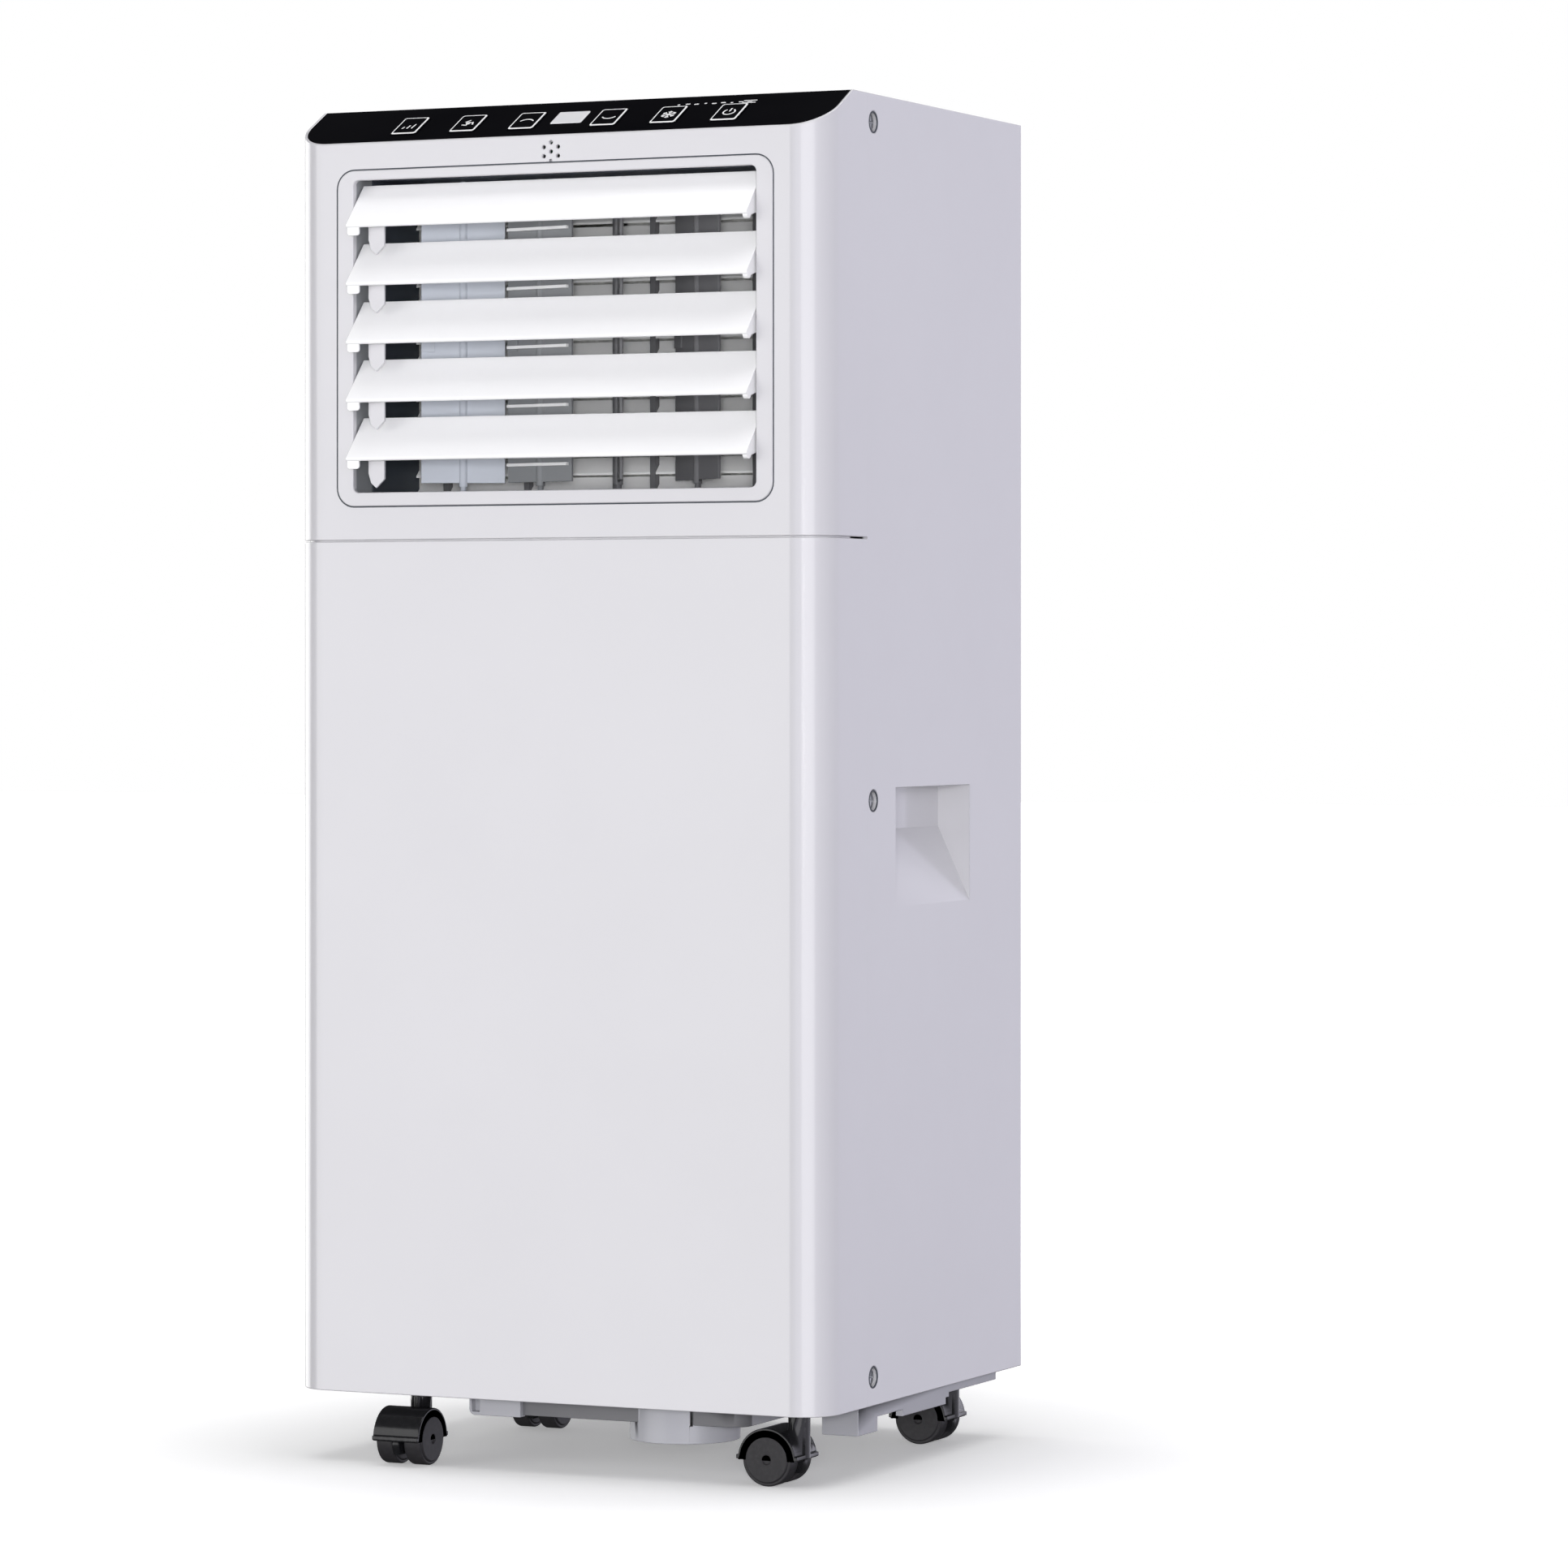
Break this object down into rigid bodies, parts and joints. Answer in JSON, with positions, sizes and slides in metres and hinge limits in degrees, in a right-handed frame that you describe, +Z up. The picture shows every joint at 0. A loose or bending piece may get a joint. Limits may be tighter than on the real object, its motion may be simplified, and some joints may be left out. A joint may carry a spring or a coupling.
{
  "type": "portable air conditioner",
  "caption": "Upright portable air conditioner on casters with a sloped key panel, swinging outlet louvers, side handle pockets, rear filter grilles and a round exhaust collar.",
  "frame": {"origin": "on the floor under the middle of the bounding box, casters standing on Z = 0", "axes": "+Z up, +X to the right seen from the front, front face towards -Y"},
  "size_m": [0.3, 0.2596, 0.691],
  "materials": {
    "cabinet_white": "satin white moulded plastic",
    "louver_white": "satin white moulded plastic",
    "panel_black": "high gloss black plastic",
    "window_pale": "pale translucent window",
    "duct_grey": "light blue-grey plastic",
    "vane_mid": "mid grey plastic",
    "vane_dark": "dark grey plastic",
    "duct_dark": "dark slate plastic",
    "foam_white": "expanded foam casing",
    "fan_black": "black moulded blower wheel",
    "filter_mesh": "dark mesh in a plastic frame",
    "pan_grey": "light grey moulded plastic",
    "steel": "plated steel",
    "fin_alu": "bare aluminium fins",
    "compressor_black": "black enamel",
    "copper": "bare copper tube",
    "mount_rubber": "black rubber",
    "board_green": "green circuit board",
    "caster_black": "black moulded nylon",
    "wheel_black": "dark grey-black nylon wheel"
  },
  "bodies": {
    "housing": {"front_panel_upper": "cabinet_white", "front_panel_lower": "cabinet_white", "side_panel_left": "cabinet_white", "side_panel_right": "cabinet_white", "rear_panel": "cabinet_white", "top_cover": "cabinet_white", "outlet_bezel": "cabinet_white", "exhaust_collar": "cabinet_white", "control_panel": "panel_black", "display_window": "window_pale", "outlet_guard": "duct_dark", "evaporator_scroll": "foam_white", "condenser_scroll": "foam_white", "slinger_motor": "fan_black", "swing_motor": "fan_black", "cord_gland": "fan_black", "base_pan": "pan_grey", "condensate_tray": "pan_grey", "evaporator_motor": "steel", "condenser_motor": "steel", "control_box": "steel", "side_screws": "steel", "evaporator_coil": "fin_alu", "condenser_coil": "fin_alu", "compressor": "compressor_black", "refrigerant_lines": "copper", "compressor_mounts": "mount_rubber", "display_board": "board_green"},
    "key_timer": {"key_timer": "panel_black"},
    "key_fan_speed": {"key_fan_speed": "panel_black"},
    "key_up": {"key_up": "panel_black"},
    "key_down": {"key_down": "panel_black"},
    "key_mode": {"key_mode": "panel_black"},
    "key_power": {"key_power": "panel_black"},
    "louver_1": {"louver_1": "louver_white"},
    "louver_2": {"louver_2": "louver_white"},
    "louver_3": {"louver_3": "louver_white"},
    "louver_4": {"louver_4": "louver_white"},
    "louver_5": {"louver_5": "louver_white"},
    "louver_link": {"louver_link": "louver_white"},
    "vane_1": {"vane_1": "duct_grey"},
    "vane_2": {"vane_2": "vane_mid"},
    "vane_3": {"vane_3": "duct_grey"},
    "vane_4": {"vane_4": "vane_dark"},
    "evaporator_wheel": {"evaporator_fan": "fan_black"},
    "condenser_wheel": {"condenser_fan": "fan_black"},
    "slinger": {"slinger_wheel": "pan_grey"},
    "upper_grille": {"upper_grille": "cabinet_white", "upper_filter": "filter_mesh"},
    "lower_grille": {"lower_grille": "cabinet_white", "lower_filter": "filter_mesh"},
    "drain_plug": {"drain_plug": "fan_black"},
    "caster_1": {"caster_fork_1": "caster_black"},
    "wheels_1": {"caster_wheels_1": "wheel_black"},
    "caster_2": {"caster_fork_2": "caster_black"},
    "wheels_2": {"caster_wheels_2": "wheel_black"},
    "caster_3": {"caster_fork_3": "caster_black"},
    "wheels_3": {"caster_wheels_3": "wheel_black"},
    "caster_4": {"caster_fork_4": "caster_black"},
    "wheels_4": {"caster_wheels_4": "wheel_black"}
  },
  "joints": [
    {"name": "key_timer_press", "type": "slide", "parent": "housing", "child": "key_timer", "axis": [0, 0.4961, -0.8682], "range_m": [0, 0.0007], "stiffness_N_per_m": 900, "springref_m": -0.0006},
    {"name": "key_fan_speed_press", "type": "slide", "parent": "housing", "child": "key_fan_speed", "axis": [0, 0.4961, -0.8682], "range_m": [0, 0.0007], "stiffness_N_per_m": 900, "springref_m": -0.0006},
    {"name": "key_up_press", "type": "slide", "parent": "housing", "child": "key_up", "axis": [0, 0.4961, -0.8682], "range_m": [0, 0.0007], "stiffness_N_per_m": 900, "springref_m": -0.0006},
    {"name": "key_down_press", "type": "slide", "parent": "housing", "child": "key_down", "axis": [0, 0.4961, -0.8682], "range_m": [0, 0.0007], "stiffness_N_per_m": 900, "springref_m": -0.0006},
    {"name": "key_mode_press", "type": "slide", "parent": "housing", "child": "key_mode", "axis": [0, 0.4961, -0.8682], "range_m": [0, 0.0007], "stiffness_N_per_m": 900, "springref_m": -0.0006},
    {"name": "key_power_press", "type": "slide", "parent": "housing", "child": "key_power", "axis": [0, 0.4961, -0.8682], "range_m": [0, 0.0007], "stiffness_N_per_m": 900, "springref_m": -0.0006},
    {"name": "louver_1_swing", "type": "hinge", "parent": "housing", "child": "louver_1", "pos_m": [0, -0.1117, 0.6366], "axis": [1, 0, 0], "range_deg": [-38, 7]},
    {"name": "louver_2_swing", "type": "hinge", "parent": "housing", "child": "louver_2", "pos_m": [0, -0.1117, 0.607], "axis": [1, 0, 0], "range_deg": [-38, 7]},
    {"name": "louver_3_swing", "type": "hinge", "parent": "housing", "child": "louver_3", "pos_m": [0, -0.1117, 0.5774], "axis": [1, 0, 0], "range_deg": [-38, 7]},
    {"name": "louver_4_swing", "type": "hinge", "parent": "housing", "child": "louver_4", "pos_m": [0, -0.1117, 0.5478], "axis": [1, 0, 0], "range_deg": [-38, 7]},
    {"name": "louver_5_swing", "type": "hinge", "parent": "housing", "child": "louver_5", "pos_m": [0, -0.1117, 0.5182], "axis": [1, 0, 0], "range_deg": [-38, 7]},
    {"name": "link_swing", "type": "hinge", "parent": "louver_1", "child": "louver_link", "pos_m": [-0.107, -0.10245, 0.64604], "axis": [1, 0, 0], "range_deg": [-7, 38]},
    {"name": "vane_1_turn", "type": "hinge", "parent": "housing", "child": "vane_1", "pos_m": [-0.0725, -0.078, 0.571], "axis": [0, 0, 1], "range_deg": [-100, 50]},
    {"name": "vane_2_turn", "type": "hinge", "parent": "housing", "child": "vane_2", "pos_m": [-0.028, -0.078, 0.571], "axis": [0, 0, 1], "range_deg": [-61, 89]},
    {"name": "vane_3_turn", "type": "hinge", "parent": "housing", "child": "vane_3", "pos_m": [0.0165, -0.078, 0.571], "axis": [0, 0, 1], "range_deg": [-15, 135]},
    {"name": "vane_4_turn", "type": "hinge", "parent": "housing", "child": "vane_4", "pos_m": [0.061, -0.078, 0.571], "axis": [0, 0, 1], "range_deg": [-41, 109]},
    {"name": "evaporator_spin", "type": "hinge", "parent": "housing", "child": "evaporator_wheel", "pos_m": [0.01, 0.048, 0.52], "axis": [0, 1, 0], "continuous": true},
    {"name": "condenser_spin", "type": "hinge", "parent": "housing", "child": "condenser_wheel", "pos_m": [-0.015, 0.048, 0.168], "axis": [0, 1, 0], "continuous": true},
    {"name": "slinger_spin", "type": "hinge", "parent": "housing", "child": "slinger", "pos_m": [0.104, 0.076, 0.066], "axis": [0, 1, 0], "continuous": true},
    {"name": "upper_grille_tilt", "type": "hinge", "parent": "housing", "child": "upper_grille", "pos_m": [0, 0.1238, 0.4335], "axis": [-1, 0, 0], "range_deg": [0, 25]},
    {"name": "lower_grille_tilt", "type": "hinge", "parent": "housing", "child": "lower_grille", "pos_m": [0, 0.1238, 0.0695], "axis": [-1, 0, 0], "range_deg": [0, 25]},
    {"name": "drain_plug_pull", "type": "slide", "parent": "housing", "child": "drain_plug", "axis": [0, 1, 0], "range_m": [0, 0.014]},
    {"name": "caster_1_swivel", "type": "hinge", "parent": "housing", "child": "caster_1", "pos_m": [-0.086, -0.098, 0.04], "axis": [0, 0, 1], "continuous": true},
    {"name": "wheels_1_roll", "type": "hinge", "parent": "caster_1", "child": "wheels_1", "pos_m": [-0.086, -0.11, 0.0132], "axis": [-1, 0, 0], "continuous": true},
    {"name": "caster_2_swivel", "type": "hinge", "parent": "housing", "child": "caster_2", "pos_m": [0.127, -0.099, 0.04], "axis": [0, 0, 1], "continuous": true},
    {"name": "wheels_2_roll", "type": "hinge", "parent": "caster_2", "child": "wheels_2", "pos_m": [0.115, -0.099, 0.0132], "axis": [0, 1, 0], "continuous": true},
    {"name": "caster_3_swivel", "type": "hinge", "parent": "housing", "child": "caster_3", "pos_m": [-0.092, 0.06, 0.04], "axis": [0, 0, 1], "continuous": true},
    {"name": "wheels_3_roll", "type": "hinge", "parent": "caster_3", "child": "wheels_3", "pos_m": [-0.092, 0.048, 0.0132], "axis": [-1, 0, 0], "continuous": true},
    {"name": "caster_4_swivel", "type": "hinge", "parent": "housing", "child": "caster_4", "pos_m": [0.13, 0.08, 0.04], "axis": [0, 0, 1], "continuous": true},
    {"name": "wheels_4_roll", "type": "hinge", "parent": "caster_4", "child": "wheels_4", "pos_m": [0.118, 0.08, 0.0132], "axis": [0, 1, 0], "continuous": true}
  ],
  "couplings": [
    {"joint": "louver_2_swing", "follows": "louver_1_swing", "ratio": 1},
    {"joint": "louver_3_swing", "follows": "louver_1_swing", "ratio": 1},
    {"joint": "louver_4_swing", "follows": "louver_1_swing", "ratio": 1},
    {"joint": "louver_5_swing", "follows": "louver_1_swing", "ratio": 1},
    {"joint": "link_swing", "follows": "louver_1_swing", "ratio": -1}
  ]
}
